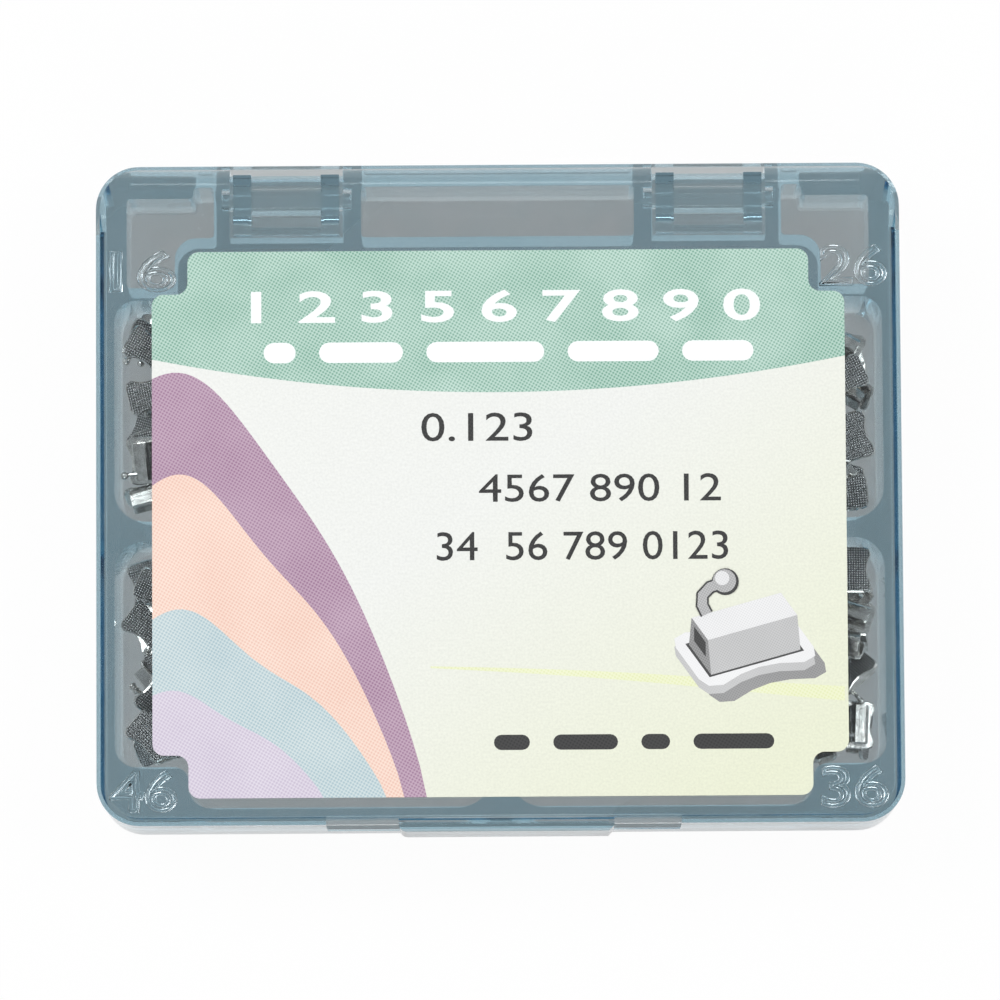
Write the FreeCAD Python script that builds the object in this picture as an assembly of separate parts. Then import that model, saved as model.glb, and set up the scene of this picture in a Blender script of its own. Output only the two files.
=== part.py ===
import FreeCAD, Part
import math
import os
import random

# A hinged flat case of clear plastic with four compartments, holding small
# bondable molar tubes. Millimetres, +X to the right, +Y to the hinge, +Z up.
# The origin is the centre of the flat underside.

# Case as a whole
CASE_W = 90.0
CASE_D = 74.0
CASE_H = 16.0
CORNER_R = 4.8
FLOOR_T = 1.4
LID_T = 1.5
WALL_T = 2.0
FOOT_CHAMFER = 0.4
LID_EDGE_CHAMFER = 0.45

# Lap joint between the tray's rim and the lid's skirt
PARTING_FROM_TOP = 4.0
SKIRT_T = 0.9
LAP_GAP = 0.2
SEAT_GAP = 0.1
RIM_GAP = 0.2
RIM_BACK = 0.8

# Compartments: mouth sizes, measured at the rim
DIVIDER_T = 2.2
CROSS_Y = -4.0
RAIL_D = 9.6
POCKET_DRAFT_DEG = 2.0
POCKET_CORNER_R = 3.4
STEP_W = 8.2
STEP_BACK_D = 5.4
STEP_FRONT_D = 4.6
STEP_INNER_R = 2.4
STEP_OUTER_R = 1.6
POCKET_FLOOR_CHAMFER = 0.6

# Hollow wells in the back rail
WELL_WALL_T = 1.6
WELL_BACK_T = 2.2
WELL_SIDE_T = 3.4
WELL_R = 0.5
CENTRE_WELL_TO_BAY = 2.05
CORNER_WELL_TO_BAY = 1.75
STEP_WALL_T = 1.4
WELL_BAR_W = 7.5
WELL_BAR_D = 1.3

# Hinge: two ears on the lid swing in bays at the back of the tray
EAR_FROM_SIDE = 21.3
EAR_W = 11.9
EAR_CHEEK_T = 2.05
EAR_R = 2.6
EAR_WEB_T = 0.6
EAR_WEB_DROP = 2.6
EAR_FRONT = 4.1
AXIS_FROM_BACK = 3.5
AXIS_BELOW_LID = 4.0
HINGE_SWING_GAP = 0.3
BAY_SIDE_GAP = 0.4
BAY_FLOOR_GAP = 0.6
CROSSBAR_R = 1.6
PIN_R = 1.0
PIN_L = 1.2
PIN_RADIAL_GAP = 0.05
PIN_END_GAP = 0.15
SKIRT_HINGE_GAP = 0.35
EAR_SLOT_W = 8.5
EAR_SLOT_D = 1.27

# Latch: a tongue on the lid's front edge over a recess in the tray's front wall
TONGUE_W = 24.0
TONGUE_X = 0.6
TONGUE_T = 1.5
TONGUE_REACH = 10.4
TONGUE_R = 0.9
TONGUE_CHAMFER = 0.6
TONGUE_GAP = 0.3
BEAD_PROUD = 0.2
BEAD_R = 0.5
BEAD_L = 18.0
BEAD_UP = 1.3
RECESS_W = 39.6
RECESS_X = 0.3
RECESS_D = 1.0
RECESS_BELOW_TONGUE = 1.0

# Label lying in a shallow recess of the lid's top
LABEL_SIDE_MARGIN = 6.25
LABEL_FRONT_MARGIN = 3.0
LABEL_BACK_MARGIN = 9.7
LABEL_T = 0.15
LABEL_RECESS_D = 0.3
LABEL_SIDE_GAP = 0.25
LABEL_STEP_W = 4.0
LABEL_STEP_D = 4.8
LABEL_R = 1.3

# Molar tube: a pad with a waist, a tube along it and a hook that ends in a ball
PAD_L = 5.4
PAD_W = 4.0
PAD_T = 0.45
PAD_CORNER = 0.8
PAD_WAIST = 0.5
TUBE_L = 4.2
TUBE_W = 2.3
TUBE_H = 1.7
TUBE_TOP_W = 1.7
TUBE_SINK = 0.1
LUMEN_W = 0.71
LUMEN_H = 0.56
LUMEN_UP = 0.7
HOOK_X = 1.3
HOOK_T = 0.5
HOOK_OUT = 1.0
HOOK_RISE = 1.0
BALL_R = 0.45
BALL_CAP = 0.5
BALL_SIDES = 5

# Tubes lying in a heap along each compartment's outer wall
POCKETS = {"16": (-1, 1), "26": (1, 1), "36": (1, -1), "46": (-1, -1)}
TUBES_PER_POCKET = 12
PILE_W = 26.0
PILE_H = 8.0
PILE_WALL_GAP = 0.5
TUBE_GAP = 0.05
TUBE_SEED = 7
HEAP_TRIES = 1500
SETTLE_STEPS = 12
RESTING_ROLLS_DEG = (0.0, 160.0, 100.0, -60.0)
LEAN_DEG = 6.0

# Sizes worked out from the ones above
half_w = CASE_W / 2
half_d = CASE_D / 2
lid_under_z = CASE_H - LID_T
parting_z = CASE_H - PARTING_FROM_TOP
rim_top_z = lid_under_z - RIM_GAP
pile_top_z = FLOOR_T + PILE_H
axis_y = half_d - AXIS_FROM_BACK
axis_z = lid_under_z - AXIS_BELOW_LID
hinge_round_r = AXIS_BELOW_LID - HINGE_SWING_GAP
skirt_end_y = axis_y - hinge_round_r - SKIRT_HINGE_GAP
pocket_back_y = half_d - RAIL_D
pocket_front_y = -half_d + WALL_T
pocket_side_x = half_w - WALL_T
draft = math.tan(math.radians(POCKET_DRAFT_DEG))
ear_x = half_w - EAR_FROM_SIDE
bay_half_w = EAR_W / 2 + BAY_SIDE_GAP
bay_floor_z = axis_z - EAR_R - BAY_FLOOR_GAP
bay_front_y = axis_y - EAR_FRONT - BAY_SIDE_GAP
recess_y = -half_d + RECESS_D
tongue_back_y = recess_y - TONGUE_GAP
tongue_bottom_z = CASE_H - TONGUE_REACH
recess_bottom_z = tongue_bottom_z - RECESS_BELOW_TONGUE
label_half_w = half_w - LABEL_SIDE_MARGIN
label_front_y = -half_d + LABEL_FRONT_MARGIN
label_back_y = half_d - LABEL_BACK_MARGIN
through = 2 * CASE_H


def vec(x, y, z=0.0):
    return FreeCAD.Vector(x, y, z)


def rounded_outline(points, radii, z):
    """A closed wire through a counter-clockwise polygon whose corners are arcs."""
    count = len(points)
    edges = []
    starts = []
    ends = []
    mids = []
    for i in range(count):
        corner = vec(*points[i])
        before = vec(*points[i - 1]) - corner
        after = vec(*points[(i + 1) % count]) - corner
        half = before.getAngle(after) / 2
        before.normalize()
        after.normalize()
        reach = radii[i] / math.tan(half)
        inward = before + after
        inward.normalize()
        starts.append(corner + before * reach)
        ends.append(corner + after * reach)
        mids.append(corner + inward * (radii[i] / math.sin(half) - radii[i]))
    for i in range(count):
        if radii[i] > 0:
            edges.append(Part.Arc(starts[i], mids[i], ends[i]).toShape())
        following = starts[(i + 1) % count]
        if ends[i].distanceToPoint(following) > 1e-6:
            edges.append(Part.LineSegment(ends[i], following).toShape())
    wire = Part.Wire(edges)
    wire.translate(vec(0, 0, z))
    return wire


def inset(points, distance):
    """The same square-cornered outline with every side moved inwards by a distance."""
    moved = []
    count = len(points)
    for i in range(count):
        arriving = vec(*points[i]) - vec(*points[i - 1])
        leaving = vec(*points[(i + 1) % count]) - vec(*points[i])
        arriving.normalize()
        leaving.normalize()
        x = points[i][0] - distance * (arriving.y + leaving.y)
        y = points[i][1] + distance * (arriving.x + leaving.x)
        moved.append((x, y))
    return moved


def prism(points, radii, z0, z1):
    wire = rounded_outline(points, radii, z0)
    return Part.Face(wire).extrude(vec(0, 0, z1 - z0))


def drafted_hollow(points, radii, z0, z1, chamfer):
    """A tapered hollow, full size at z1, with a chamfer round its floor."""
    wires = []
    for z, extra in ((z1, 0), (z0 + chamfer, 0), (z0, chamfer)):
        wires.append(rounded_outline(inset(points, (z1 - z) * draft + extra), radii, z))
    return Part.makeLoft(wires, True, True)


def rectangle(x0, y0, x1, y1):
    return [(x0, y0), (x1, y0), (x1, y1), (x0, y1)]


def case_block(margin, z0, z1):
    """The case's outline, drawn in by a margin on every side."""
    x = half_w - margin
    y = half_d - margin
    return prism(rectangle(-x, -y, x, y), [CORNER_R - margin] * 4, z0, z1)


def mirrored(points):
    """An outline on the other side of the middle, still counter-clockwise."""
    return [(-x, y) for x, y in reversed(points)]


def pocket_outline(side, end):
    """A compartment's mouth, with its outer corner stepped in; side and end are 1 or -1."""
    x0 = DIVIDER_T / 2
    x1 = pocket_side_x
    step_x = x1 - STEP_W
    wide = POCKET_CORNER_R
    if end > 0:
        y0 = CROSS_Y + DIVIDER_T / 2
        y1 = pocket_back_y
        step_y = y1 - STEP_BACK_D
        points = [(x0, y0), (x1, y0), (x1, step_y), (step_x, step_y), (step_x, y1), (x0, y1)]
        radii = [wide, wide, STEP_INNER_R, STEP_OUTER_R, STEP_INNER_R, wide]
    else:
        y0 = pocket_front_y
        y1 = CROSS_Y - DIVIDER_T / 2
        step_y = y0 + STEP_FRONT_D
        points = [(x0, y0), (step_x, y0), (step_x, step_y), (x1, step_y), (x1, y1), (x0, y1)]
        radii = [wide, STEP_INNER_R, STEP_OUTER_R, STEP_INNER_R, wide, wide]
    if side < 0:
        points = mirrored(points)
        radii.reverse()
    return points, radii


def pocket(name):
    """The hollow of one compartment, named by the tooth that its tubes are for."""
    points, radii = pocket_outline(*POCKETS[name])
    return drafted_hollow(points, radii, FLOOR_T, rim_top_z, POCKET_FLOOR_CHAMFER)


def corner_well():
    """The L-shaped well between the back right corner and the stepped compartment."""
    inner_x = ear_x + bay_half_w + CORNER_WELL_TO_BAY
    outer_x = half_w - WELL_SIDE_T
    back_y = half_d - WELL_BACK_T
    bar_y = back_y - WELL_BAR_D
    bar_x = outer_x - WELL_BAR_W
    front_y = pocket_back_y + WELL_WALL_T
    leg_x = pocket_side_x - STEP_W + STEP_WALL_T
    leg_y = pocket_back_y - STEP_BACK_D + STEP_WALL_T
    points = [(leg_x, leg_y), (outer_x, leg_y), (outer_x, bar_y), (bar_x, bar_y), (bar_x, back_y),
              (inner_x, back_y), (inner_x, front_y), (leg_x, front_y)]
    radii = [WELL_R] * len(points)
    radii[-1] = STEP_INNER_R
    return points, radii


def hinge_cylinder(x0, x1, r):
    return Part.makeCylinder(r, x1 - x0, vec(x0, axis_y, axis_z), vec(1, 0, 0))


def tray_blank():
    """The tray's outer form: full walls up to the parting, a thin rim above, a round back edge."""
    block = case_block(0, 0, CASE_H)
    bottom_edges = [e for e in block.Edges if e.BoundBox.ZMax < 1e-6]
    block = block.makeChamfer(FOOT_CHAMFER, bottom_edges)
    r = hinge_round_r
    rise = parting_z - axis_z
    back = vec(-CASE_W, axis_y + r, axis_z)
    top = vec(-CASE_W, axis_y, axis_z + r)
    shoulder = vec(-CASE_W, axis_y - math.sqrt(r * r - rise * rise), parting_z)
    front = vec(-CASE_W, -CASE_D, parting_z)
    foot = vec(-CASE_W, -CASE_D, -FLOOR_T)
    heel = vec(-CASE_W, axis_y + r, -FLOOR_T)
    edges = [Part.Arc(back, top, shoulder).toShape()]
    for start, end in zip([shoulder, front, foot, heel], [front, foot, heel, back]):
        edges.append(Part.LineSegment(start, end).toShape())
    profile = Part.Face(Part.Wire(edges)).extrude(vec(2 * CASE_W, 0, 0))
    rim = case_block(SKIRT_T + LAP_GAP, FLOOR_T, rim_top_z)
    rim = rim.cut(Part.makeBox(2 * CASE_W, CASE_D, through, vec(-CASE_W, axis_y - RIM_BACK, 0)))
    return block.common(profile).fuse(rim)


def hinge_bay(side):
    """The room for one ear, open at the top and the back, with a hole for its pin in each wall."""
    x = side * ear_x
    corner = vec(x - bay_half_w, bay_front_y, bay_floor_z)
    room = Part.makeBox(2 * bay_half_w, CASE_D, through, corner)
    reach = EAR_W / 2 + PIN_L + PIN_END_GAP
    return room.fuse(hinge_cylinder(x - reach, x + reach, PIN_R + PIN_RADIAL_GAP))


def make_tray():
    hollows = [pocket(name) for name in POCKETS]
    well_y0 = pocket_back_y + WELL_WALL_T
    well_y1 = half_d - WELL_BACK_T
    centre_x = ear_x - bay_half_w - CENTRE_WELL_TO_BAY
    centre = rectangle(-centre_x, well_y0, centre_x, well_y1)
    hollows.append(prism(centre, [WELL_R] * 4, FLOOR_T, through))
    points, radii = corner_well()
    hollows.append(prism(points, radii, FLOOR_T, through))
    hollows.append(prism(mirrored(points), radii[::-1], FLOOR_T, through))
    hollows += [hinge_bay(side) for side in (-1, 1)]
    hollows.append(finger_recess(recess_bottom_z))
    tray = tray_blank()
    for hollow in hollows:
        tray = tray.cut(hollow)
    return tray.removeSplitter()


def finger_recess(z0):
    """The wide shallow recess in the front wall, where the latch tongue hangs."""
    corner = vec(RECESS_X - RECESS_W / 2, recess_y - CASE_D, z0)
    return Part.makeBox(RECESS_W, CASE_D, lid_under_z - z0, corner)


def ear(side):
    """One hinge ear: two cheeks, a web in front, a crossbar between them and a pin at each end."""
    x0 = side * ear_x - EAR_W / 2
    x1 = x0 + EAR_W
    top_z = lid_under_z + LID_T / 2
    front_y = axis_y - EAR_FRONT
    web_z = lid_under_z - EAR_WEB_DROP
    back_y = axis_y + EAR_R
    neck_y = axis_y - EAR_R
    back = vec(x0, back_y, axis_z)
    low = vec(x0, axis_y, axis_z - EAR_R)
    neck = vec(x0, neck_y, axis_z)
    outline = [neck, vec(x0, neck_y, web_z), vec(x0, front_y, web_z), vec(x0, front_y, top_z),
               vec(x0, back_y, top_z), back]
    edges = [Part.Arc(back, low, neck).toShape()]
    for start, end in zip(outline, outline[1:]):
        edges.append(Part.LineSegment(start, end).toShape())
    profile = Part.Face(Part.Wire(edges))
    pieces = []
    for x in (0, EAR_W - EAR_CHEEK_T):
        cheek = profile.extrude(vec(EAR_CHEEK_T, 0, 0))
        cheek.translate(vec(x, 0, 0))
        pieces.append(cheek)
    pieces.append(Part.makeBox(EAR_W, EAR_WEB_T, top_z - web_z, vec(x0, front_y, web_z)))
    pieces.append(hinge_cylinder(x0 + EAR_CHEEK_T / 2, x1 - EAR_CHEEK_T / 2, CROSSBAR_R))
    for x in (x0, x1):
        pieces.append(hinge_cylinder(x - PIN_L, x + PIN_L, PIN_R))
    return pieces[0].fuse(pieces[1:])


def tongue():
    """The latch tongue, rounded at its left end and chamfered at its right, with a bead inside."""
    x0 = TONGUE_X - TONGUE_W / 2
    x1 = TONGUE_X + TONGUE_W / 2
    y1 = tongue_back_y
    y0 = y1 - TONGUE_T
    outline = [(x0, y0), (x1 - TONGUE_CHAMFER, y0), (x1, y0 + TONGUE_CHAMFER), (x1, y1), (x0, y1)]
    plate = prism(outline, [TONGUE_R, 0, 0, 0, 0], tongue_bottom_z, CASE_H - LID_EDGE_CHAMFER)
    bead_start = vec(TONGUE_X - BEAD_L / 2, y1 + BEAD_PROUD - BEAD_R, tongue_bottom_z + BEAD_UP)
    return plate.fuse(Part.makeCylinder(BEAD_R, BEAD_L, bead_start, vec(1, 0, 0)))


def label_outline(margin):
    """The label's outline, grown by a margin, with all four corners stepped in."""
    x1 = label_half_w + margin
    x0 = x1 - LABEL_STEP_W
    y1 = (label_back_y - label_front_y) / 2 + margin
    y0 = y1 - LABEL_STEP_D
    middle_y = (label_back_y + label_front_y) / 2
    corner = [(x1, y0), (x0, y0), (x0, y1)]
    points = []
    for sx, sy, order in ((1, 1, 1), (-1, 1, -1), (-1, -1, 1), (1, -1, -1)):
        points += [(sx * x, sy * y + middle_y) for x, y in corner[::order]]
    return points, [LABEL_R] * len(points)


def make_lid():
    plate = case_block(0, lid_under_z, CASE_H)
    top_edges = [e for e in plate.Edges if e.BoundBox.ZMin > CASE_H - 1e-6]
    plate = plate.makeChamfer(LID_EDGE_CHAMFER, top_edges)
    skirt = case_block(0, parting_z + SEAT_GAP, lid_under_z)
    behind_skirt = Part.makeBox(2 * CASE_W, CASE_D, through, vec(-CASE_W, skirt_end_y, 0))
    skirt = skirt.cut([case_block(SKIRT_T, parting_z, CASE_H), behind_skirt, finger_recess(0)])
    lid = plate.fuse([skirt, ear(-1), ear(1), tongue()])
    points, radii = label_outline(LABEL_SIDE_GAP)
    cuts = [prism(points, radii, CASE_H - LABEL_RECESS_D, through)]
    for side in (-1, 1):
        corner = vec(side * ear_x - EAR_SLOT_W / 2, axis_y - EAR_FRONT + EAR_WEB_T, lid_under_z)
        cuts.append(Part.makeBox(EAR_SLOT_W, EAR_SLOT_D, through, corner))
    return lid.cut(cuts).removeSplitter()


def make_label():
    points, radii = label_outline(0)
    z0 = CASE_H - LABEL_RECESS_D
    return prism(points, radii, z0, z0 + LABEL_T)


def molar_tube(hand):
    """A bondable tube standing on its pad, its hook on the +Y side, at the end that hand points to."""
    pad_x = PAD_L / 2
    pad_y = PAD_W / 2
    corner = PAD_CORNER
    right = [(0, PAD_WAIST - pad_y), (pad_x - corner, -pad_y), (pad_x, corner - pad_y),
             (pad_x, pad_y - corner), (pad_x - corner, pad_y)]
    outline = right + [(-x, -y) for x, y in right]
    pad = prism(outline, [0] * len(outline), 0, PAD_T)
    z0 = PAD_T - TUBE_SINK
    z1 = PAD_T + TUBE_H
    section = [(-TUBE_W / 2, z0), (TUBE_W / 2, z0), (TUBE_TOP_W / 2, z1), (-TUBE_TOP_W / 2, z1)]
    corners = [vec(-TUBE_L / 2, y, z) for y, z in section]
    body = Part.Face(Part.makePolygon(corners + corners[:1])).extrude(vec(TUBE_L, 0, 0))
    lumen = Part.makeBox(2 * TUBE_L, LUMEN_W, LUMEN_H, vec(-TUBE_L, -LUMEN_W / 2, PAD_T + LUMEN_UP))
    shank_z = z1 - HOOK_T
    shank_top_z = shank_z + HOOK_RISE
    root_y = TUBE_TOP_W / 2 - HOOK_T
    tip_y = TUBE_W / 2 + HOOK_OUT
    bend_y = tip_y - HOOK_T
    hook = [(root_y, shank_z), (tip_y, shank_z), (tip_y, shank_top_z), (bend_y, shank_top_z),
            (bend_y, z1), (root_y, z1)]
    corners = [vec(hand * HOOK_X - HOOK_T / 2, y, z) for y, z in hook]
    shank = Part.Face(Part.makePolygon(corners + corners[:1])).extrude(vec(HOOK_T, 0, 0))
    ball = faceted_ball()
    ball.translate(vec(hand * HOOK_X, tip_y - HOOK_T / 2, shank_top_z + BALL_R / 2))
    return pad.fuse([body.cut(lumen), shank, ball]).removeSplitter()


def faceted_ball():
    """The ball at the hook's end: flat faces between a belt and two smaller caps."""
    rings = []
    for r, z in ((BALL_R * BALL_CAP, -BALL_R), (BALL_R, 0), (BALL_R * BALL_CAP, BALL_R)):
        ring = []
        for i in range(BALL_SIDES):
            angle = 2 * math.pi * i / BALL_SIDES
            ring.append(vec(r * math.cos(angle), r * math.sin(angle), z))
        rings.append(ring)
    outlines = [rings[0], rings[-1]]
    for low, high in zip(rings, rings[1:]):
        for i in range(BALL_SIDES):
            outlines.append([low[i - 1], low[i], high[i], high[i - 1]])
    faces = [Part.Face(Part.makePolygon(outline + outline[:1])) for outline in outlines]
    return Part.Solid(Part.Shell(faces))


def plan_corners(box, x, y, yaw):
    """The four plan corners of a shape's box, turned by yaw and moved to x, y."""
    turn = math.radians(yaw)
    corners = []
    for px, py in rectangle(box.XMin, box.YMin, box.XMax, box.YMax):
        corners.append((x + px * math.cos(turn) - py * math.sin(turn),
                        y + px * math.sin(turn) + py * math.cos(turn)))
    return corners


def apart(a, b):
    """Whether two rectangles in plan, at any angles, keep clear of each other."""
    for corners in (a, b):
        for (x0, y0), (x1, y1) in zip(corners[:2], corners[1:3]):
            along_a = [x * (x1 - x0) + y * (y1 - y0) for x, y in a]
            along_b = [x * (x1 - x0) + y * (y1 - y0) for x, y in b]
            if max(along_a) < min(along_b) or max(along_b) < min(along_a):
                return True
    return False


def settle(tube, supports):
    """Lower a tube until it all but touches one of the tubes under it, or the floor."""
    for _ in range(SETTLE_STEPS):
        room = [tube.distToShape(support)[0] for support in supports]
        drop = min(room + [tube.BoundBox.ZMin - FLOOR_T]) - TUBE_GAP
        if drop < TUBE_GAP:
            break
        tube.translate(vec(0, 0, -drop))


def heap(name, draw):
    """A compartment's tubes, dropped one by one beside its outer wall, each on what lies below it."""
    side, end = POCKETS[name]
    hollow = pocket(name)
    limits = hollow.BoundBox
    tube = molar_tube(side * end)
    placed = []
    for _ in range(HEAP_TRIES):
        if len(placed) == TUBES_PER_POCKET:
            break
        roll = draw.choice(RESTING_ROLLS_DEG)
        lean = draw.uniform(-LEAN_DEG, LEAN_DEG)
        yaw = draw.uniform(0, 360)
        x = side * (pocket_side_x - draw.uniform(PAD_W / 2, PILE_W - PAD_W / 2))
        y = draw.uniform(limits.YMin + PAD_W / 2, limits.YMax - PAD_W / 2)
        dropped = tube.copy()
        dropped.rotate(vec(0, 0, 0), vec(1, 0, 0), roll)
        dropped.rotate(vec(0, 0, 0), vec(0, 1, 0), lean)
        box = dropped.BoundBox
        footprint = plan_corners(box, x, y, yaw)
        below = [(top, other) for area, top, other in placed if not apart(footprint, area)]
        z = max([FLOOR_T] + [top for top, _ in below]) + TUBE_GAP
        across = [side * corner_x for corner_x, _ in footprint]
        along = [corner_y for _, corner_y in footprint]
        fits_x = pocket_side_x - PILE_W < min(across) and max(across) < pocket_side_x - PILE_WALL_GAP
        fits_y = limits.YMin + PILE_WALL_GAP < min(along) and max(along) < limits.YMax - PILE_WALL_GAP
        if not (fits_x and fits_y) or z + box.ZLength > pile_top_z:
            continue
        dropped.rotate(vec(0, 0, 0), vec(0, 0, 1), yaw)
        dropped.translate(vec(x, y, z - box.ZMin))
        if below:
            settle(dropped, [other for _, other in below])
        if dropped.cut(hollow).Volume > 1e-6:
            continue
        placed.append((footprint, dropped.BoundBox.ZMax, dropped))
    return [shape for _, _, shape in placed]


def write(name, shape):
    """One checked solid in a file of its own."""
    if len(shape.Solids) != 1 or not shape.isValid():
        raise ValueError(name + " isn't one valid solid")
    shape.exportStep("parts/" + name + ".step")


os.makedirs("parts", exist_ok=True)
write("base_tray", make_tray())
write("lid", make_lid())
write("label", make_label())
draw = random.Random(TUBE_SEED)
for name in POCKETS:
    for number, shape in enumerate(heap(name, draw), 1):
        write("molar_tube_%s_%02d" % (name, number), shape)
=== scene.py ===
import math
import random

import bmesh
import bpy
from mathutils import Matrix, Vector
from mathutils.bvhtree import BVHTree


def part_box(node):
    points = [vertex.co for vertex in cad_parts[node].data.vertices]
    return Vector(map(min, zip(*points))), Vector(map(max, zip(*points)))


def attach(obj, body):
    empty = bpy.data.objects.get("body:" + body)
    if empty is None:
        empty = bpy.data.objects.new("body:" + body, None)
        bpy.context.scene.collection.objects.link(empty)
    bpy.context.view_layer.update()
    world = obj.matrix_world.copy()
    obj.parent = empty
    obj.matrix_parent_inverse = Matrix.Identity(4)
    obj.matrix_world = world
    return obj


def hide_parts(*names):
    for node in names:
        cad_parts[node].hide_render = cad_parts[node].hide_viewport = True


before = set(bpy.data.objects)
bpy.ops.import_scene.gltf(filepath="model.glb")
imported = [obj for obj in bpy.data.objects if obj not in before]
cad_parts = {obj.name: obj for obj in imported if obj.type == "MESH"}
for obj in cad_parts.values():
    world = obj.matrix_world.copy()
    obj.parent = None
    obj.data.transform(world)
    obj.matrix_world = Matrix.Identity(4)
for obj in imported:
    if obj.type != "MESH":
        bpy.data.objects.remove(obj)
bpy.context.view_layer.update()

# Lengths below are in millimetres unless they say otherwise
MM = 0.001

# Camera, looking down on the closed lid
VIEW_WIDTH = 111.6
CAMERA_DISTANCE = 900.0
CAMERA_TILT_DEG = 6.0
CAMERA_ROLL_DEG = 0.36
CAMERA_AIM = (0.09, -0.84)
SENSOR = 36.0

# Clear plastic: what a thickness of plastic lets through, as colour and density per metre
PLASTIC_IOR = 1.49
ABSORPTION_COLOR = (0.16, 0.575, 0.725, 1)
ABSORPTION_DENSITY = 56.0

# How far the floor glows plain white to the camera and in a shiny surface, and the share of that glow
# that is left through the plastic, where the photo shows the case's own shadow
WHITE_TO_CAMERA = 0.965
WHITE_IN_GLOSS = 0.6
WHITE_THROUGH = 0.4
FLOOR_HALF = 1500.0
FLOOR_LEVEL = 0.86

# Light: the world's colour and strength, and area lamps as name, place, side and watts
WORLD_COLOR = (0.95, 0.97, 1.0, 1)
WORLD_STRENGTH = 0.34
LAMPS = (("key", (-420, 260, 620), 420, 3.4), ("fill", (480, 120, 560), 380, 1.9),
         ("front", (60, -620, 420), 320, 1.4))

# Turns of light inside the clear mouldings, without which their hinge slots look black
MOST_BOUNCES = 14
GLOSSY_BOUNCES = 9

# Molar tube, drawn like its solid but rounder
PAD_L = 5.4
PAD_W = 4.0
PAD_T = 0.45
PAD_CORNER = 0.8
PAD_WAIST = 0.5
PAD_ROUND = 0.12
TUBE_L = 4.2
TUBE_W = 2.3
TUBE_H = 1.7
TUBE_TOP_W = 1.7
TUBE_ROUND = 0.28
LUMEN_W = 0.71
LUMEN_H = 0.56
LUMEN_UP = 0.7
MOUTH_FLARE = 0.3
HOOK_X = 1.3
HOOK_T = 0.5
HOOK_OUT = 1.0
HOOK_RISE = 1.0
HOOK_BEND = 0.35
HOOK_SIDES = 12
BALL_R = 0.45
MESH_PITCH = 0.28
PAD_WAIST_X = 0.9
SECTION_SINK = 0.1
FLARE_SCALE = 1.35

# More loose tubes on top of the modelled ones, beside the outer walls
WALL_T = 2.0
WALL_CLEAR = 0.6
MORE_PER_POCKET = 14
MORE_TRIES = 900
MORE_TOP_Z = 13.2
MORE_SEED = 11
WALL_SLACK = 1.5
DROP_STEP = 0.15
RESTING_ROLLS_DEG = (0.0, 180.0, 100.0, -60.0, 150.0)
STRIPS_Y = {"16": (-2.4, 21.6), "26": (-2.4, 21.6), "36": (-30.0, -5.6), "46": (-30.0, -5.6)}

# Marks moulded under the lid near its corners: number, centre, size
MARK_H = 4.8
MARK_W = 7.6
MARK_LINE = 0.13
MARK_BEVEL = 0.035
MARK_BELOW_LABEL = 1.23
MARKS = {"16": (-39.8, 25.3), "26": (39.8, 25.5), "36": (39.4, -33.0), "46": (-39.8, -33.1)}

# Print on the label, from the label's lower left corner
LABEL_STEP_W = 4.0
LABEL_STEP_D = 4.8
LABEL_R = 1.3
WAVE_STEPS = 40
INK_T = 0.01
INK_FOOT = 0.2
HEADER_LOW = 45.3
HEADER_SAG = 3.9
TITLE = ("1 2 3 5 6 7 8 9 0", 39.6, 55.0, 57.0, 3.7)
TITLE_WEIGHT = 0.018
ROWS = (("0.123", 36.3, 41.4, 12.4, 3.2), ("4567 890 12", 50.0, 34.5, 27.0, 3.1),
        ("34  56 789 0123", 48.0, 28.0, 32.5, 3.2))
SUBTITLE_WORDS = (3.6, 9.4, 13.2, 10.2, 8.0)
SUBTITLE_AT = (12.5, 48.7)
SUBTITLE_H = 2.3
WORD_GAP = 2.6
SMALL_WORDS = (4.0, 7.2, 3.2, 9.0)
SMALL_AT = (38.0, 5.2)
SMALL_H = 1.7
WAVES = ((47.0, 30.5, 1.6), (35.0, 28.0, 2.2), (20.0, 26.0, 1.8), (11.5, 19.0, 0.9))
STREAK_FROM_U = 31.0
STREAK_V = 14.5
STREAK_FALL = 3.2
DRAWING_AT = (66.0, 15.6)
DRAWING_SCALE = 2.6
DRAWING_TURN_DEG = 24.0
DRAWING_AWAY = 0.62
DRAWING_UP = 0.78


def shader_material(name):
    """A new material with its node tree and its main shader."""
    material = bpy.data.materials.new(name)
    material.use_nodes = True
    return material, material.node_tree, material.node_tree.nodes["Principled BSDF"]


def add_node(tree, kind, inputs=None, **settings):
    """A new node with its settings and the values of its inputs."""
    node = tree.nodes.new(kind)
    for key, value in settings.items():
        setattr(node, key, value)
    for key, value in (inputs or {}).items():
        node.inputs[key].default_value = value
    return node


def noise(tree, scale, detail=3.0, stretch=(1, 1, 1)):
    """Noise in the object's own metres, scaled per metre."""
    place = add_node(tree, "ShaderNodeTexCoord")
    mapping = add_node(tree, "ShaderNodeMapping", {"Scale": stretch})
    texture = add_node(tree, "ShaderNodeTexNoise", {"Scale": scale, "Detail": detail})
    tree.links.new(place.outputs["Object"], mapping.inputs["Vector"])
    tree.links.new(mapping.outputs["Vector"], texture.inputs["Vector"])
    return texture.outputs["Fac"]


def ramp(tree, value, stops):
    """A colour ramp of (position, colour) stops driven by a value."""
    node = add_node(tree, "ShaderNodeValToRGB")
    elements = node.color_ramp.elements
    while len(elements) < len(stops):
        elements.new(0.5)
    for element, (position, color) in zip(elements, stops):
        element.position = position
        element.color = color
    tree.links.new(value, node.inputs["Fac"])
    return node.outputs["Color"]


def grey(level):
    """A neutral colour."""
    return (level, level, level, 1)


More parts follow.
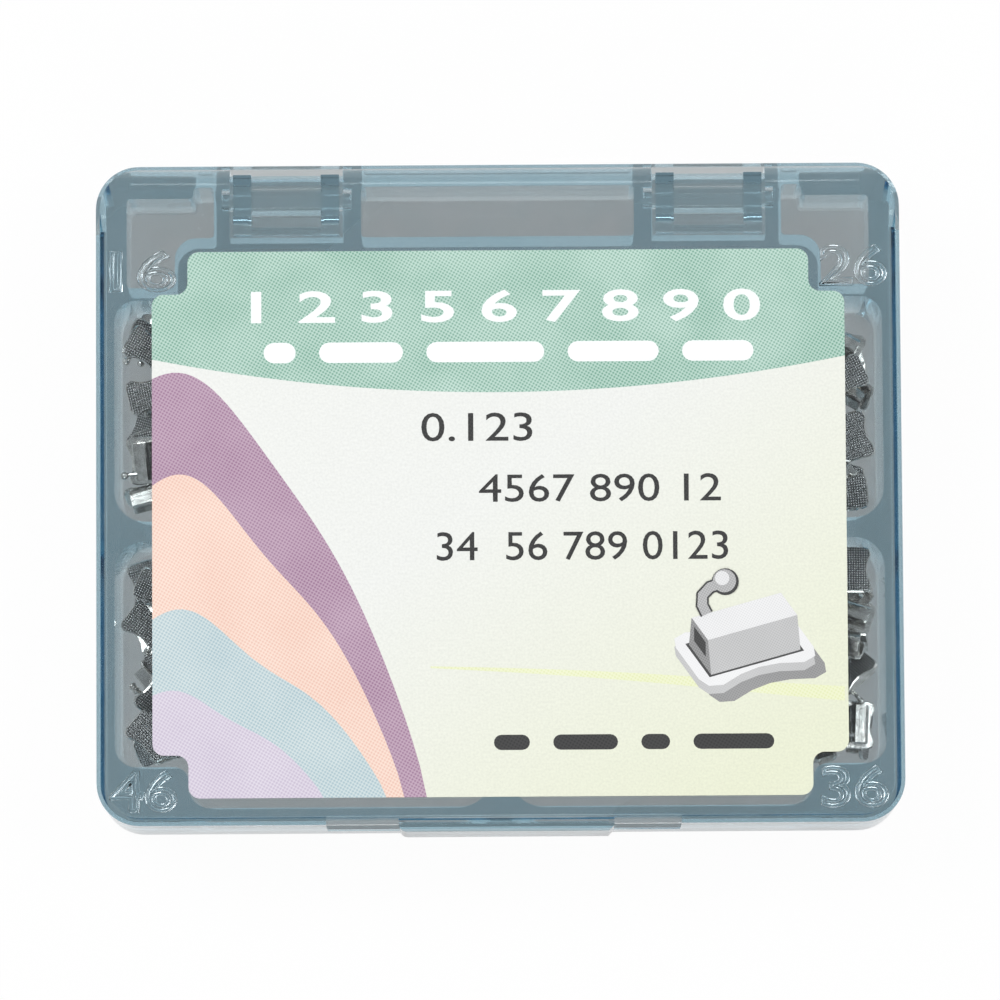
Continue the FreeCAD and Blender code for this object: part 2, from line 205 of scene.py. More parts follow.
def roughen(tree, shader, value, low, high):
    """Roughness between two levels where the value goes from 0.3 to 0.7."""
    limits = {"From Min": 0.3, "From Max": 0.7, "To Min": low, "To Max": high}
    spread = add_node(tree, "ShaderNodeMapRange", limits)
    tree.links.new(value, spread.inputs["Value"])
    tree.links.new(spread.outputs["Result"], shader.inputs["Roughness"])


def bump(tree, shader, value, height):
    """A bump of the given height in millimetres."""
    node = add_node(tree, "ShaderNodeBump", {"Strength": 1.0, "Distance": height * MM})
    tree.links.new(value, node.inputs["Height"])
    tree.links.new(node.outputs["Normal"], shader.inputs["Normal"])


def clear_plastic(name, tint_low, tint_high, rough):
    """Polished petrol-blue plastic that darkens with the length of the path through it."""
    material, tree, shader = shader_material(name)
    flow = noise(tree, 260.0, 1.0)
    tree.links.new(ramp(tree, flow, [(0.35, tint_low), (0.65, tint_high)]), shader.inputs["Base Color"])
    roughen(tree, shader, flow, rough, rough * 3)
    bump(tree, shader, flow, 0.012)
    shader.inputs["Transmission Weight"].default_value = 1.0
    shader.inputs["IOR"].default_value = PLASTIC_IOR
    absorb = add_node(tree, "ShaderNodeVolumeAbsorption")
    absorb.inputs["Color"].default_value = ABSORPTION_COLOR
    absorb.inputs["Density"].default_value = ABSORPTION_DENSITY
    output = tree.nodes["Material Output"]
    tree.links.new(absorb.outputs["Volume"], output.inputs["Volume"])
    return material


def steel(name, dark, light, rough):
    """Cast and tumbled steel with fine scratches along the tube."""
    material, tree, shader = shader_material(name)
    color = ramp(tree, noise(tree, 900.0), [(0.35, dark), (0.65, light)])
    tree.links.new(color, shader.inputs["Base Color"])
    shader.inputs["Metallic"].default_value = 1.0
    scratches = noise(tree, 2500.0, 2.0, (0.15, 1, 1))
    roughen(tree, shader, scratches, rough, rough + 0.18)
    bump(tree, shader, scratches, 0.008)
    return material


def mesh_base_steel_painted_shade():
    """The woven base of the pad: rows of small dimples both ways, its steel coloured darker in the dimples
    as painted shade.
    """
    material, tree, shader = shader_material("mesh_base_steel_painted_shade")
    place = add_node(tree, "ShaderNodeTexCoord")
    bands = []
    for direction in ("X", "Y"):
        band = add_node(tree, "ShaderNodeTexWave", {"Scale": math.pi / (10 * MESH_PITCH * MM)},
                        bands_direction=direction)
        tree.links.new(place.outputs["Object"], band.inputs["Vector"])
        bands.append(band.outputs["Fac"])
    weave = add_node(tree, "ShaderNodeMath", operation="MULTIPLY")
    tree.links.new(bands[0], weave.inputs[0])
    tree.links.new(bands[1], weave.inputs[1])
    # Painted shade: the steel's colour goes nearly black where the weave sinks into its dimples
    color = ramp(tree, weave.outputs["Value"], [(0.1, grey(0.16)), (0.6, grey(0.7))])
    tree.links.new(color, shader.inputs["Base Color"])
    shader.inputs["Metallic"].default_value = 1.0
    roughen(tree, shader, noise(tree, 1500.0), 0.3, 0.5)
    bump(tree, shader, weave.outputs["Value"], 0.06)
    return material


def print_ink(name, low, high, dots=0.35, pitch=0.34, blotch=0.18):
    """A printed field: two near colours in a fine screen of dots, on slightly uneven ink."""
    material, tree, shader = shader_material(name)
    place = add_node(tree, "ShaderNodeTexCoord")
    screen = add_node(tree, "ShaderNodeTexVoronoi", {"Scale": 1 / (pitch * MM), "Randomness": 0.0})
    turned = add_node(tree, "ShaderNodeMapping", {"Rotation": (0, 0, math.radians(30))})
    tree.links.new(place.outputs["Object"], turned.inputs["Vector"])
    tree.links.new(turned.outputs["Vector"], screen.inputs["Vector"])
    dots_color = ramp(tree, screen.outputs["Distance"], [(dots, low), (dots + 0.25, high)])
    patches = add_node(tree, "ShaderNodeMix", {"Factor": blotch}, data_type="RGBA", blend_type="MIX")
    uneven = ramp(tree, noise(tree, 120.0), [(0.35, low), (0.65, high)])
    tree.links.new(dots_color, patches.inputs["A"])
    tree.links.new(uneven, patches.inputs["B"])
    tree.links.new(patches.outputs["Result"], shader.inputs["Base Color"])
    roughen(tree, shader, noise(tree, 700.0), 0.45, 0.6)
    bump(tree, shader, noise(tree, 3000.0), 0.003)
    return material


def card():
    """Coated card, cream at the upper left and pale yellow-green towards the lower right."""
    material, tree, shader = shader_material("label_card")
    place = add_node(tree, "ShaderNodeTexCoord")
    slant = {"Rotation": (0, 0, math.radians(55)), "Scale": (14, 14, 14)}
    turned = add_node(tree, "ShaderNodeMapping", slant)
    slope = add_node(tree, "ShaderNodeTexGradient")
    tree.links.new(place.outputs["Object"], turned.inputs["Vector"])
    tree.links.new(turned.outputs["Vector"], slope.inputs["Vector"])
    color = ramp(tree, slope.outputs["Fac"], [(0.0, (0.86, 0.87, 0.835, 1)), (0.6, (0.82, 0.845, 0.65, 1))])
    fibres = ramp(tree, noise(tree, 3600.0, 3.0), [(0.3, grey(0.91)), (0.7, grey(1.0))])
    mixed = add_node(tree, "ShaderNodeMix", {"Factor": 1.0}, data_type="RGBA", blend_type="MULTIPLY")
    tree.links.new(color, mixed.inputs["A"])
    tree.links.new(fibres, mixed.inputs["B"])
    tree.links.new(mixed.outputs["Result"], shader.inputs["Base Color"])
    roughen(tree, shader, noise(tree, 600.0), 0.4, 0.55)
    bump(tree, shader, noise(tree, 2200.0, 4.0), 0.004)
    return material


def new_object(name, mesh, materials):
    """A linked object, with the materials where its mesh has none yet."""
    piece = bpy.data.objects.new(name, mesh)
    bpy.context.scene.collection.objects.link(piece)
    if not mesh.materials:
        for material in materials:
            mesh.materials.append(material)
    return piece


def tube_section():
    """Outer and inner outlines of the tube body, with the same number of points, as (y, z)."""
    z0 = PAD_T - SECTION_SINK
    z1 = PAD_T + TUBE_H
    r = TUBE_ROUND
    top = TUBE_TOP_W / 2
    outer = [(-TUBE_W / 2, z0), (TUBE_W / 2, z0)]
    outer += [(top + 0.1, z1 - r), (top - 0.08, z1 - 0.3 * r), (top - r, z1)]
    outer += [(-y, z) for y, z in reversed(outer[2:])]
    low = PAD_T + LUMEN_UP
    high = low + LUMEN_H
    half = LUMEN_W / 2
    inner = [(-half, low), (half, low), (half, high - 0.12), (half, high), (half - 0.15, high)]
    inner += [(-y, z) for y, z in reversed(inner[2:])]
    return outer, inner


def add_loop(bm, points):
    """Vertices at the points, given in millimetres."""
    return [bm.verts.new(Vector(point) * MM) for point in points]


def bridge(bm, first, second, material_index=0):
    """Quads between two closed loops of the same length."""
    count = len(first)
    for i in range(count):
        face = bm.faces.new((first[i - 1], first[i], second[i], second[i - 1]))
        face.material_index = material_index


def pad_outline(shrink):
    """The pad's waisted outline with cut corners, drawn in by a margin, as (x, y)."""
    x1 = PAD_L / 2 - shrink
    y1 = PAD_W / 2 - shrink
    corner = PAD_CORNER
    waist = PAD_WAIST
    cut = 0.25 * corner
    right = [(0, waist - y1), (PAD_WAIST_X, waist * 0.75 - y1), (x1 - corner, -y1), (x1 - cut, cut - y1),
             (x1, corner - y1), (x1, y1 - corner), (x1 - cut, y1 - cut), (x1 - corner, y1),
             (PAD_WAIST_X, y1 - waist * 0.75)]
    return right + [(-x, -y) for x, y in right]


def tube_mesh(hand, materials):
    """The whole molar tube, its hook at the end that hand points to."""
    bm = bmesh.new()
    levels = [(0.0, PAD_ROUND), (PAD_ROUND, 0.0), (PAD_T - PAD_ROUND, 0.0), (PAD_T, PAD_ROUND)]
    loops = [add_loop(bm, [(x, y, z) for x, y in pad_outline(shrink)]) for z, shrink in levels]
    base = bm.faces.new(list(reversed(loops[0])))
    base.material_index = 1
    for low, high in zip(loops, loops[1:]):
        bridge(bm, low, high)
    bm.faces.new(loops[-1])

    outer, inner = tube_section()
    x1 = TUBE_L / 2
    flare = MOUTH_FLARE
    middle = PAD_T + LUMEN_UP + LUMEN_H / 2
    flared = [(y * FLARE_SCALE, middle + (z - middle) * FLARE_SCALE) for y, z in inner]
    stations = [(-x1, outer), (x1, outer), (x1, flared), (x1 - flare, inner), (flare - x1, inner),
                (-x1, flared)]
    loops = [add_loop(bm, [(x, y, z) for y, z in outline]) for x, outline in stations]
    for first, second in zip(loops, loops[1:] + loops[:1]):
        bridge(bm, first, second)

    add_hook(bm, hand)
    bmesh.ops.recalc_face_normals(bm, faces=bm.faces)
    mesh = bpy.data.meshes.new("molar_tube_right" if hand > 0 else "molar_tube_left")
    bm.to_mesh(mesh)
    bm.free()
    for material in materials:
        mesh.materials.append(material)
    return mesh


def add_hook(bm, hand):
    """A round shank that leaves the tube's upper edge, bends up and ends in a ball."""
    z1 = PAD_T + TUBE_H
    radius = HOOK_T / 2
    line_z = z1 - radius
    line_y = TUBE_W / 2 + HOOK_OUT - radius
    path = [(TUBE_TOP_W / 2 - HOOK_T, line_z, 90.0)]
    for step in range(5):
        turn = 90.0 * step / 4
        angle = math.radians(turn)
        y = line_y - HOOK_BEND + HOOK_BEND * math.sin(angle)
        z = line_z + HOOK_BEND - HOOK_BEND * math.cos(angle)
        path.append((y, z, 90.0 - turn))
    ball_z = z1 - HOOK_T + HOOK_RISE + BALL_R / 2
    path.append((line_y, ball_z, 0.0))
    loops = []
    for y, z, lean in path:
        lean = math.radians(lean)
        points = []
        for i in range(HOOK_SIDES):
            angle = 2 * math.pi * i / HOOK_SIDES
            across = radius * math.cos(angle)
            up = radius * math.sin(angle)
            points.append((hand * HOOK_X + across, y - up * math.cos(lean), z + up * math.sin(lean)))
        loops.append(add_loop(bm, points))
    bm.faces.new(loops[0])
    for first, second in zip(loops, loops[1:]):
        bridge(bm, first, second)
    bm.faces.new(loops[-1])
    place = Matrix.Translation(Vector((hand * HOOK_X, line_y, ball_z)) * MM)
    bmesh.ops.create_icosphere(bm, subdivisions=3, radius=BALL_R * MM, matrix=place)


def node_pose(node):
    """Where a tube node stands, worked out from its mesh: (matrix, hand)."""
    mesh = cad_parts[node].data
    groups = {}
    mesh.calc_loop_triangles()
    for triangle in mesh.loop_triangles:
        normal = triangle.normal
        height = normal.dot(mesh.vertices[triangle.vertices[0]].co)
        key = (round(normal.x, 2), round(normal.y, 2), round(normal.z, 2), round(height / (0.05 * MM)))
        groups.setdefault(key, []).append(triangle)
    base = max(groups.values(), key=lambda group: sum(triangle.area for triangle in group))
    area = sum(triangle.area for triangle in base)
    origin = Vector()
    up = Vector()
    for triangle in base:
        corners = [mesh.vertices[i].co for i in triangle.vertices]
        origin += sum(corners, Vector()) / 3 * triangle.area / area
        up -= triangle.normal * triangle.area / area
    up.normalize()
    rim = {i for triangle in base for i in triangle.vertices}
    farthest = max((mesh.vertices[i].co - origin for i in rim), key=lambda offset: offset.length)
    along = long_axis([mesh.vertices[i].co - origin for i in rim], up, farthest)
    top = max((vertex.co - origin for vertex in mesh.vertices), key=lambda offset: offset.dot(up))
    across = up.cross(along)
    if across.dot(top) < 0:
        across = -across
    along = across.cross(up)
    hand = 1 if top.dot(along) > 0 else -1
    matrix = Matrix((along, across, up)).transposed().to_4x4()
    matrix.translation = origin
    return matrix, hand


def long_axis(offsets, up, guess):
    """The direction in the pad's plane in which its corners spread most."""
    first = (guess - up * guess.dot(up)).normalized()
    second = up.cross(first)
    xx = sum(offset.dot(first) ** 2 for offset in offsets)
    yy = sum(offset.dot(second) ** 2 for offset in offsets)
    xy = sum(offset.dot(first) * offset.dot(second) for offset in offsets)
    turn = math.atan2(2 * xy, xx - yy) / 2
    return first * math.cos(turn) + second * math.sin(turn)


class Rough:
    """A tube's coarse shape at a place, for finding out what touches what."""

    def __init__(self, points, faces, matrix):
        self.points = [matrix @ point for point in points]
        self.tree = BVHTree.FromPolygons(self.points, faces)
        self.centre = matrix.translation
        self.low_z = min(point.z for point in self.points)

    def near(self, other):
        return (self.centre - other.centre).length < 2 * (PAD_L + HOOK_OUT) * MM

    def meets(self, others):
        return any(self.near(other) and self.tree.overlap(other.tree) for other in others)


def rough_shape(node, matrix):
    """The coarse mesh of a tube node in its own axes."""
    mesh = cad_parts[node].data
    back = matrix.inverted()
    points = [back @ vertex.co for vertex in mesh.vertices]
    return points, [tuple(polygon.vertices) for polygon in mesh.polygons]


def lowered(points, faces, matrix, others, floor_z):
    """The place that a tube comes down to, or nothing where it starts inside another."""
    tube = Rough(points, faces, matrix)
    if tube.meets(others):
        return None
    while tube.low_z - DROP_STEP * MM > floor_z:
        lower = Matrix.Translation((0, 0, -DROP_STEP * MM)) @ matrix
        trial = Rough(points, faces, lower)
        if trial.meets(others):
            break
        matrix = lower
        tube = trial
    return matrix, tube


def more_tubes(pocket, hand, shape, others, draw):
    """Matrices of more tubes lying on a compartment's heap beside its outer wall."""
    points, faces = shape
    side = 1 if pocket in ("26", "36") else -1
    wall_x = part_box("base_tray")[1].x / MM - WALL_T - WALL_CLEAR
    y0, y1 = STRIPS_Y[pocket]
    floor_z = 1.5 * MM
    places = []
    for _ in range(MORE_TRIES):
        if len(places) == MORE_PER_POCKET:
            break
        turn = Matrix.Rotation(draw.uniform(0, 2 * math.pi), 4, "Z")
        roll = math.radians(draw.choice(RESTING_ROLLS_DEG) + draw.uniform(-14, 14))
        lean = math.radians(draw.uniform(-16, 16))
        turn = turn @ Matrix.Rotation(roll, 4, "X") @ Matrix.Rotation(lean, 4, "Y")
        posed = [turn @ point for point in points]
        reach = max(side * point.x for point in posed) / MM
        top = max(point.z for point in posed)
        x = side * (wall_x - reach - draw.uniform(0, WALL_SLACK))
        y = draw.uniform(y0, y1)
        place = Vector((x * MM, y * MM, MORE_TOP_Z * MM - top))
        along = [(point.y + place.y) / MM for point in posed]
        if min(along) < y0 or max(along) > y1:
            continue
        found = lowered(points, faces, Matrix.Translation(place) @ turn, others, floor_z)
        if found is None:
            continue
        others.append(found[1])
        places.append(found[0])
    return places


def build_tubes(materials):
    """A finer tube for each tube node, and the rest of each compartment's stock."""
    meshes = {hand: tube_mesh(hand, materials) for hand in (1, -1)}
    draw = random.Random(MORE_SEED)
    for pocket in STRIPS_Y:
        others = []
        shape = None
        for node in sorted(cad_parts):
            if not node.startswith("molar_tube_" + pocket):
                continue
            matrix, hand = node_pose(node)
            shape = shape or rough_shape(node, matrix)
            others.append(Rough(*shape, matrix))
            piece = new_object("fine_" + node, meshes[hand], materials)
            piece.matrix_world = matrix
            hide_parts(node)
            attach(piece, "case")
        for number, matrix in enumerate(more_tubes(pocket, hand, shape, others, draw), 1):
            piece = new_object("more_tube_%s_%02d" % (pocket, number), meshes[hand], materials)
            piece.matrix_world = matrix
            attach(piece, "case")


def text_mesh(name, text, width, height, thickness, weight=0.0, outline=False):
    """Digits of a width and height, centred, in thin solid or as round outline strokes."""
    curve = bpy.data.curves.new(name, "FONT")
    curve.body = text
    curve.align_x = "CENTER"
    curve.align_y = "CENTER"
    curve.resolution_u = 4
    curve.offset = weight
    if outline:
        curve.fill_mode = "NONE"
        curve.bevel_depth = MARK_BEVEL
        curve.bevel_resolution = 2
    else:
        curve.extrude = 0.5
    holder = bpy.data.objects.new(name, curve)
    bpy.context.scene.collection.objects.link(holder)
    depsgraph = bpy.context.evaluated_depsgraph_get()
    mesh = bpy.data.meshes.new_from_object(holder.evaluated_get(depsgraph))
    bpy.data.objects.remove(holder)
    corners = [vertex.co for vertex in mesh.vertices]
    low = [min(corner[i] for corner in corners) for i in range(3)]
    high = [max(corner[i] for corner in corners) for i in range(3)]
    sizes = (width * MM, height * MM, thickness * MM)
    for vertex in mesh.vertices:
        for i in range(3):
            share = (vertex.co[i] - low[i]) / (high[i] - low[i]) - 0.5
            vertex.co[i] = share * sizes[i]
    return mesh


def build_marks(material):
    """The outlined numbers moulded on the lid's underside near its corners."""
    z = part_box("label")[0].z - MARK_BELOW_LABEL * MM
    for number, (x, y) in MARKS.items():
        mesh = text_mesh("mark_" + number, number, MARK_W, MARK_H, 2 * MARK_LINE, outline=True)
        mark = new_object("mark_" + number, mesh, [material])
        mark.location = (x * MM, y * MM, z)
        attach(mark, "cover")


def label_point(u, v):
    """A point of the label's face in the frame, from its lower left corner."""
    low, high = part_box("label")
    return Vector((low.x + u * MM, low.y + v * MM, high.z))


def printed(name, outline, level, material):
    """A printed field: a film of ink as thick as its level, over an outline on the label."""
    bm = bmesh.new()
    rings = []
    for height in (INK_FOOT * INK_T, level * INK_T):
        rings.append([bm.verts.new(label_point(u, v) + Vector((0, 0, height * MM))) for u, v in outline])
    bm.faces.new(list(reversed(rings[0])))
    bm.faces.new(rings[1])
    bridge(bm, rings[0], rings[1])
    bmesh.ops.recalc_face_normals(bm, faces=bm.faces)
    mesh = bpy.data.meshes.new(name)
    bm.to_mesh(mesh)
    bm.free()
    field = new_object(name, mesh, [material])
    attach(field, "cover")


def printed_number(name, text, u, v, width, height, level, material, weight=0.0):
    """A row of plain digits on the label, as thick as its level of ink."""
    mesh = text_mesh(name, text, width, height, level * INK_T, weight)
    row = new_object(name, mesh, [material])
    row.location = label_point(u, v) + Vector((0, 0, (0.5 * level + 0.1) * INK_T * MM))
    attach(row, "cover")


def arc(u, v, r, start, end, steps):
    """Points of a circle's arc, in degrees from start to end."""
    points = []
    for i in range(steps + 1):
        angle = math.radians(start + (end - start) * i / steps)
        points.append((u + r * math.cos(angle), v + r * math.sin(angle)))
    return points


def bar(u, v, width, height):
    """A bar with round ends."""
    r = height / 2
    return arc(u + width - r, v + r, r, -90, 90, 8) + arc(u + r, v + r, r, 90, 270, 8)


def label_size():
    """The card's width and depth in millimetres."""
    low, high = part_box("label")
    return (high.x - low.x) / MM, (high.y - low.y) / MM


def stepped_corner(width, depth):
    """The card's stepped upper right corner, from its right edge round to its upper edge."""
    r = LABEL_R
    x = width - LABEL_STEP_W
    y = depth - LABEL_STEP_D
    outer = arc(width - r, y - r, r, 0, 90, 6)
    inner = arc(x + r, y + r, r, 270, 180, 6)
    return outer + inner + arc(x - r, depth - r, r, 0, 90, 6)


def header_outline():
    """The green field over the label's top, between its stepped corners, with a curved lower edge."""
    width, depth = label_size()
    lower = []
    for i in range(WAVE_STEPS + 1):
        u = width * i / WAVE_STEPS
        lower.append((u, HEADER_LOW + HEADER_SAG * (2 * u / width - 1) ** 2))
    right = stepped_corner(width, depth)
    left = [(width - u, v) for u, v in reversed(right)]
    return lower + right + left


def build_print():
    """Everything on the card: fields of colour, bars, plain numbers and a drawing of a tube."""
    green = print_ink("green_ink", (0.10, 0.31, 0.21, 1), (0.55, 0.72, 0.64, 1))
    white = print_ink("white_ink", (0.90, 0.93, 0.92, 1), (0.96, 0.98, 0.97, 1))
    black = print_ink("black_ink", (0.02, 0.02, 0.02, 1), (0.05, 0.05, 0.05, 1))
    mauve = print_ink("mauve_ink", (0.28, 0.13, 0.24, 1), (0.55, 0.40, 0.50, 1))
    peach = print_ink("peach_ink", (0.80, 0.50, 0.40, 1), (0.93, 0.74, 0.64, 1))
    teal = print_ink("teal_ink", (0.36, 0.50, 0.55, 1), (0.66, 0.74, 0.74, 1))
    lilac = print_ink("lilac_ink", (0.55, 0.48, 0.60, 1), (0.75, 0.70, 0.78, 1))
    printed("print_header", header_outline(), 1, green)
    text, u, v, width, height = TITLE
    printed_number("print_title", text, u, v, width, height, 2, white, TITLE_WEIGHT)
    u, v = SUBTITLE_AT
    for number, width in enumerate(SUBTITLE_WORDS, 1):
        printed("print_subtitle_%d" % number, bar(u, v, width, SUBTITLE_H), 2, white)
        u += width + WORD_GAP
    for number, (text, u, v, width, height) in enumerate(ROWS, 1):
        printed_number("print_row_%d" % number, text, u, v, width, height, 2, black)
    u, v = SMALL_AT
    for number, width in enumerate(SMALL_WORDS, 1):
        printed("print_small_%d" % number, bar(u, v, width, SMALL_H), 1, black)
        u += width + WORD_GAP
    build_waves((mauve, peach, teal, lilac))
    yellow = print_ink("yellow_ink", (0.74, 0.78, 0.42, 1), (0.84, 0.87, 0.62, 1))
    printed("print_streak", streak_outline(), 0.6, yellow)
    build_tube_drawing()


def streak_outline():
    """A pale streak that widens towards the card's right edge."""
    width, _ = label_size()
    upper = []
    lower = []
    for i in range(WAVE_STEPS + 1):
        share = i / WAVE_STEPS
        u = STREAK_FROM_U + (width - 0.4 - STREAK_FROM_U) * share
        v = STREAK_V - STREAK_FALL * math.sin(math.pi * share / 2) + math.sin(math.pi * share)
        upper.append((u, v + 0.1 + 0.7 * share))
        lower.append((u, v - 0.1 - 0.7 * share))
    return lower + upper[::-1]


def wave_field(left_v, reach, swing):
    """A field under a wavy line that falls from the card's left edge to its lower edge."""
    top = []
    for i in range(WAVE_STEPS + 1):
        share = i / WAVE_STEPS
        fall = math.cos(math.pi * share / 2) ** 0.8
        height = left_v * fall + swing * math.sin(3 * math.pi * share) * (1 - share)
        top.append((reach * share, height))
    corner = [(u, v) for u, v in lower_left_corner() if v > 0 or u < reach]
    return corner + list(reversed(top))


def lower_left_corner():
    """The card's stepped lower left corner, from its left edge round to its lower edge."""
    width, depth = label_size()
    return [(width - u, depth - v) for u, v in stepped_corner(width, depth)]


def build_waves(inks):
    """Overlapping waves of colour at the card's left, in place of a picture."""
    for level, (wave, ink) in enumerate(zip(WAVES, inks), 1):
        printed("print_wave_%d" % level, wave_field(*wave), level, ink)


def drawn(x, y, z):
    """A point of the drawn tube, seen at a slant from above, in the label's millimetres."""
    turn = math.radians(DRAWING_TURN_DEG)
    across = x * math.cos(turn) - y * math.sin(turn)
    away = x * math.sin(turn) + y * math.cos(turn)
    raised = DRAWING_AWAY * away + DRAWING_UP * z
    return DRAWING_AT[0] + DRAWING_SCALE * across, DRAWING_AT[1] + DRAWING_SCALE * raised


def build_tube_drawing():
    """A simple drawing of a tube on its pad, in flat greys."""
    line = print_ink("drawing_line_ink", grey(0.03), grey(0.07), pitch=0.25)
    shade = print_ink("drawing_shade_ink", grey(0.16), grey(0.34), pitch=0.25)
    mid = print_ink("drawing_mid_ink", grey(0.36), grey(0.58), pitch=0.25)
    pale = print_ink("drawing_pale_ink", grey(0.70), grey(0.86), pitch=0.25)
    x1 = TUBE_L / 2
    low = TUBE_W / 2
    high = TUBE_TOP_W / 2
    z0 = PAD_T
    z1 = PAD_T + TUBE_H
    hole_z = z0 + LUMEN_UP
    hole = LUMEN_W / 2 + 0.25
    mouth = [(-hole, hole_z - 0.1), (hole, hole_z - 0.1), (hole, hole_z + 0.7), (-hole, hole_z + 0.7)]
    pad = pad_outline(0)
    fields = [("shadow", [drawn(x + 0.35, y - 0.35, -0.3) for x, y in pad], shade),
              ("pad_side", [drawn(x, y, 0) for x, y in pad], mid),
              ("pad", [drawn(x, y, PAD_T) for x, y in pad], pale),
              ("foot", [drawn(x, y, z0) for x, y in rectangle_points(x1 + 0.12, low + 0.12)], line),
              ("side", [drawn(*point) for point in ((-x1, -low, z0), (x1, -low, z0), (x1, -high, z1),
                                                     (-x1, -high, z1))], mid),
              ("front", [drawn(*point) for point in ((-x1, low, z0), (-x1, -low, z0), (-x1, -high, z1),
                                                      (-x1, high, z1))], shade),
              ("top", [drawn(*point) for point in ((-x1, -high, z1), (x1, -high, z1), (x1, high, z1),
                                                    (-x1, high, z1))], pale),
              ("mouth", [drawn(-x1, y, z) for y, z in mouth], line)]
    for level, (name, outline, ink) in enumerate(fields, 1):
        printed("drawing_" + name, outline, level, ink)
    u, v = drawn(-HOOK_X, high + 0.2, z1)
    bend = [(u, v - 0.4), (u - 0.5, v + 0.6), (u - 0.45, v + 1.7), (u + 0.4, v + 2.6), (u + 1.6, v + 3.0)]
    level = len(fields) + 1
    printed("drawing_shank_line", band(bend, 0.75), level, line)
    printed("drawing_ball_line", arc(u + 2.1, v + 3.2, 1.5, 0, 345, 23), level + 1, line)
    printed("drawing_shank", band(bend, 0.55), level + 2, mid)
    printed("drawing_ball", arc(u + 2.0, v + 3.3, 1.3, 0, 345, 23), level + 3, mid)
    printed("drawing_ball_light", arc(u + 1.75, v + 3.6, 0.8, 0, 345, 23), level + 4, pale)


def band(points, half):
    """The outline of a thick line through the points."""
    left = []
    right = []
    for i, (u, v) in enumerate(points):
        before = Vector(points[max(i - 1, 0)])
        after = Vector(points[min(i + 1, len(points) - 1)])
        along = (after - before).normalized() * half
        left.append((u - along.y, v + along.x))
        right.append((u + along.y, v - along.x))
    return left + right[::-1]


def rectangle_points(x, y):
    """A rectangle's corners from its half sizes."""
    return [(-x, -y), (x, -y), (x, y), (-x, y)]


def stage_material(name, level):
    """A pale floor that the camera sees as white, with the object's shadow on it and under the case."""
    material, tree, shader = shader_material(name)
    color = ramp(tree, noise(tree, 8.0), [(0.3, grey(level * 0.99)), (0.7, grey(level))])
    tree.links.new(color, shader.inputs["Base Color"])
    shader.inputs["Roughness"].default_value = 0.9
    shader.inputs["Specular IOR Level"].default_value = 0.1
    glow = add_node(tree, "ShaderNodeEmission")
    path = add_node(tree, "ShaderNodeLightPath")
    dimmed = add_node(tree, "ShaderNodeMath", operation="MULTIPLY_ADD")
    dimmed.inputs[1].default_value = WHITE_THROUGH - 1
    dimmed.inputs[2].default_value = 1.0
    tree.links.new(path.outputs["Is Transmission Ray"], dimmed.inputs[0])
    tree.links.new(dimmed.outputs["Value"], glow.inputs["Strength"])
    seen = None
    for ray, share in (("Is Camera Ray", WHITE_TO_CAMERA), ("Is Glossy Ray", WHITE_IN_GLOSS)):
        part = add_node(tree, "ShaderNodeMath", operation="MULTIPLY_ADD")
        part.inputs[1].default_value = share
        part.inputs[2].default_value = 0.0
        tree.links.new(path.outputs[ray], part.inputs[0])
        if seen:
            tree.links.new(seen, part.inputs[2])
        seen = part.outputs["Value"]
    mix = add_node(tree, "ShaderNodeMixShader")
    tree.links.new(seen, mix.inputs["Fac"])
    tree.links.new(shader.outputs["BSDF"], mix.inputs[1])
    tree.links.new(glow.outputs["Emission"], mix.inputs[2])
    tree.links.new(mix.outputs["Shader"], tree.nodes["Material Output"].inputs["Surface"])
    return material


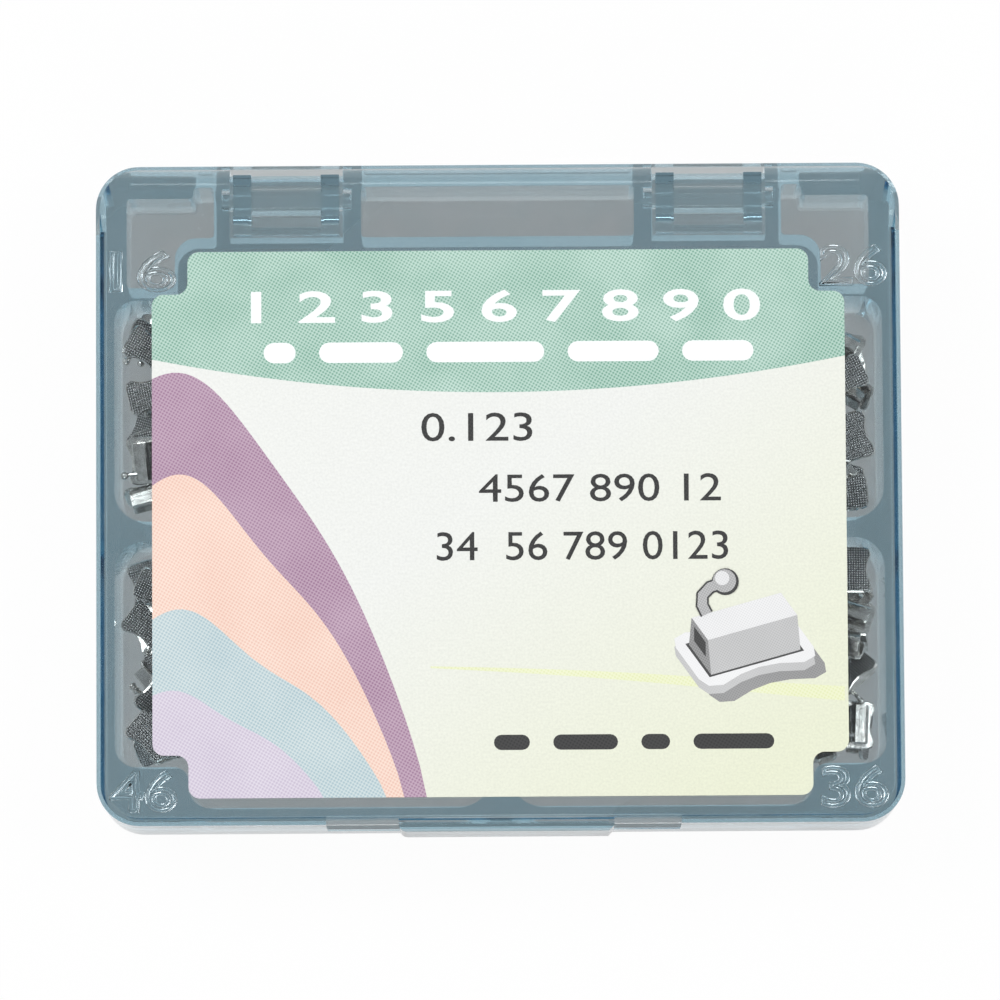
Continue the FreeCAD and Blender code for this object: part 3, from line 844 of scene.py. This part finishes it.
def build_stage():
    """A large plain floor, a white world and soft lamps."""
    bm = bmesh.new()
    bmesh.ops.create_grid(bm, x_segments=8, y_segments=8, size=FLOOR_HALF * MM)
    mesh = bpy.data.meshes.new("floor")
    bm.to_mesh(mesh)
    bm.free()
    floor = new_object("floor", mesh, [stage_material("floor_white", FLOOR_LEVEL)])
    world = bpy.data.worlds.new("world")
    bpy.context.scene.world = world
    world.use_nodes = True
    background = world.node_tree.nodes["Background"]
    background.inputs["Color"].default_value = WORLD_COLOR
    background.inputs["Strength"].default_value = WORLD_STRENGTH
    for name, place, size, power in LAMPS:
        lamp = bpy.data.lights.new(name, "AREA")
        lamp.shape = "SQUARE"
        lamp.size = size * MM
        lamp.energy = power
        holder = bpy.data.objects.new(name, lamp)
        bpy.context.scene.collection.objects.link(holder)
        holder.location = Vector(place) * MM
        holder.rotation_euler = (-holder.location).to_track_quat("-Z", "Y").to_euler()


def build_camera():
    """The photo's view: almost straight down, a little from the front."""
    data = bpy.data.cameras.new("camera")
    data.sensor_width = SENSOR
    data.lens = SENSOR * CAMERA_DISTANCE / VIEW_WIDTH
    camera = bpy.data.objects.new("camera", data)
    bpy.context.scene.collection.objects.link(camera)
    bpy.context.scene.camera = camera
    target = Vector((CAMERA_AIM[0] * MM, CAMERA_AIM[1] * MM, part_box("lid")[1].z))
    tilt = Matrix.Rotation(math.radians(CAMERA_TILT_DEG), 4, "X")
    roll = Matrix.Rotation(math.radians(-CAMERA_ROLL_DEG), 4, "Z")
    back = Matrix.Translation((0, 0, CAMERA_DISTANCE * MM))
    camera.matrix_world = Matrix.Translation(target) @ tilt @ roll @ back


def paint_case():
    """Better materials for the tray, the lid and the label that the frame carries over."""
    tray = clear_plastic("tray_plastic", (0.96, 0.98, 0.99, 1), (1.0, 1.0, 1.0, 1), 0.03)
    lid = clear_plastic("lid_plastic", (0.97, 0.99, 0.99, 1), (1.0, 1.0, 1.0, 1), 0.02)
    for node, material in (("base_tray", tray), ("lid", lid), ("label", card())):
        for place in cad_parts[node].material_slots:
            place.material = material
    return lid


lid_plastic = paint_case()
tube_steel = steel("tube_steel", (0.50, 0.49, 0.47, 1), (0.80, 0.79, 0.76, 1), 0.10)
build_tubes([tube_steel, mesh_base_steel_painted_shade()])
build_marks(lid_plastic)
build_print()
build_stage()
build_camera()
bpy.context.scene.view_settings.view_transform = "Standard"
bpy.context.scene.cycles.use_light_tree = False
bpy.context.scene.cycles.max_bounces = MOST_BOUNCES
bpy.context.scene.cycles.transmission_bounces = MOST_BOUNCES
bpy.context.scene.cycles.glossy_bounces = GLOSSY_BOUNCES
